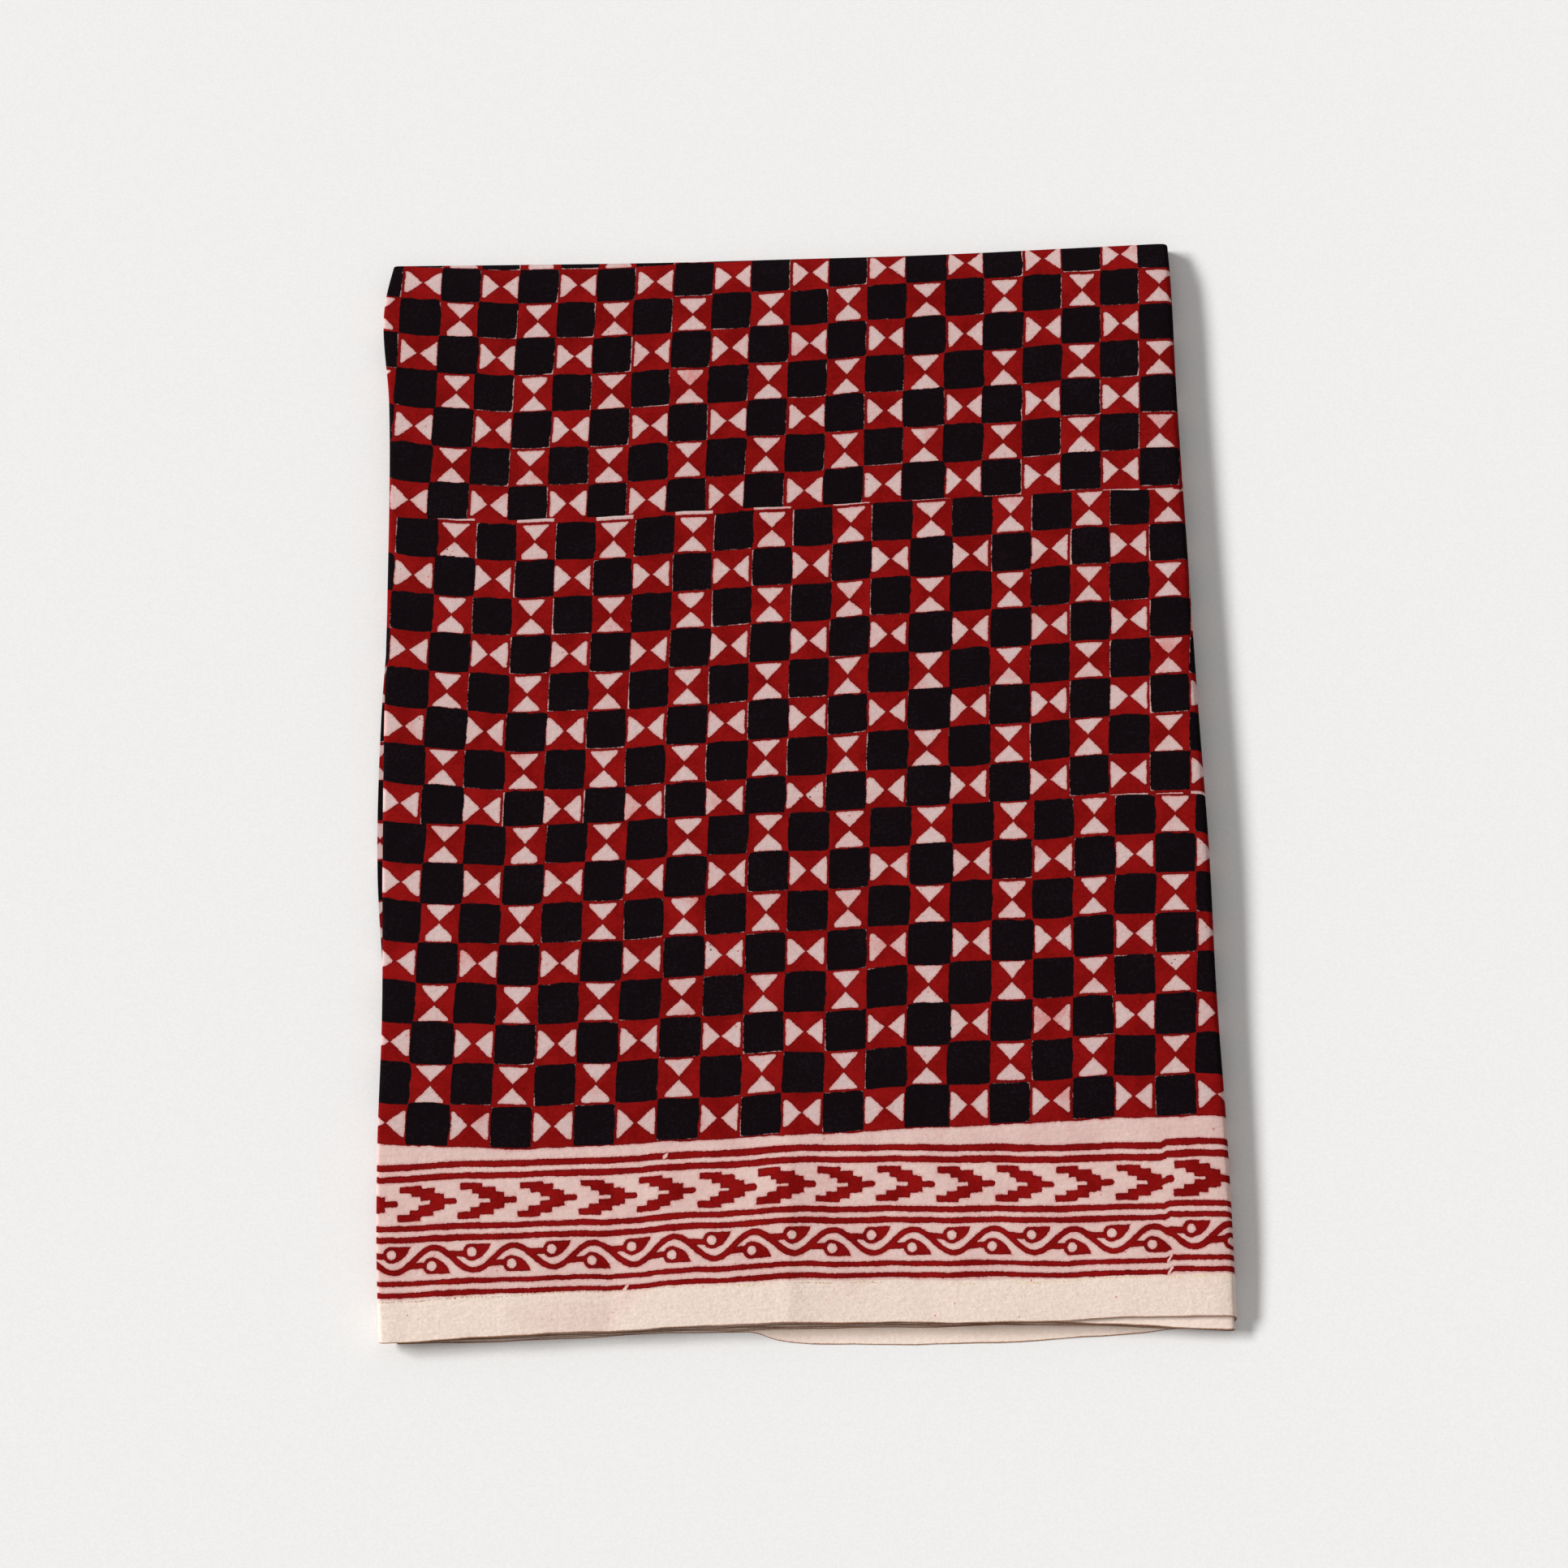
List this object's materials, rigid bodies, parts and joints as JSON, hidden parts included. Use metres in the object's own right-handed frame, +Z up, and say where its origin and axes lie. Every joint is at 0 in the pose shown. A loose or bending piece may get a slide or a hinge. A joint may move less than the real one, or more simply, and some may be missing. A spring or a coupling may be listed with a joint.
{
  "type": "folded block-printed cotton cloth",
  "caption": "Cut length of block-printed cotton, halved and folded into a flat pack, with a check of black squares and hourglass triangles and a printed border above a plain hem.",
  "frame": {"origin": "on the flat underside, in the middle of the folded pack", "axes": "+X to the right along the halving fold, +Y from the plain hems towards the halving fold, +Z up, away from the surface the pack lies on"},
  "size_m": [0.411, 0.5626, 0.0136],
  "materials": {
    "printed_cotton": "matte plain-weave cotton, block printed in black and madder red on a pinkish white ground"
  },
  "bodies": {
    "root": {"folded_cloth": "printed_cotton"}
  },
  "joints": []
}
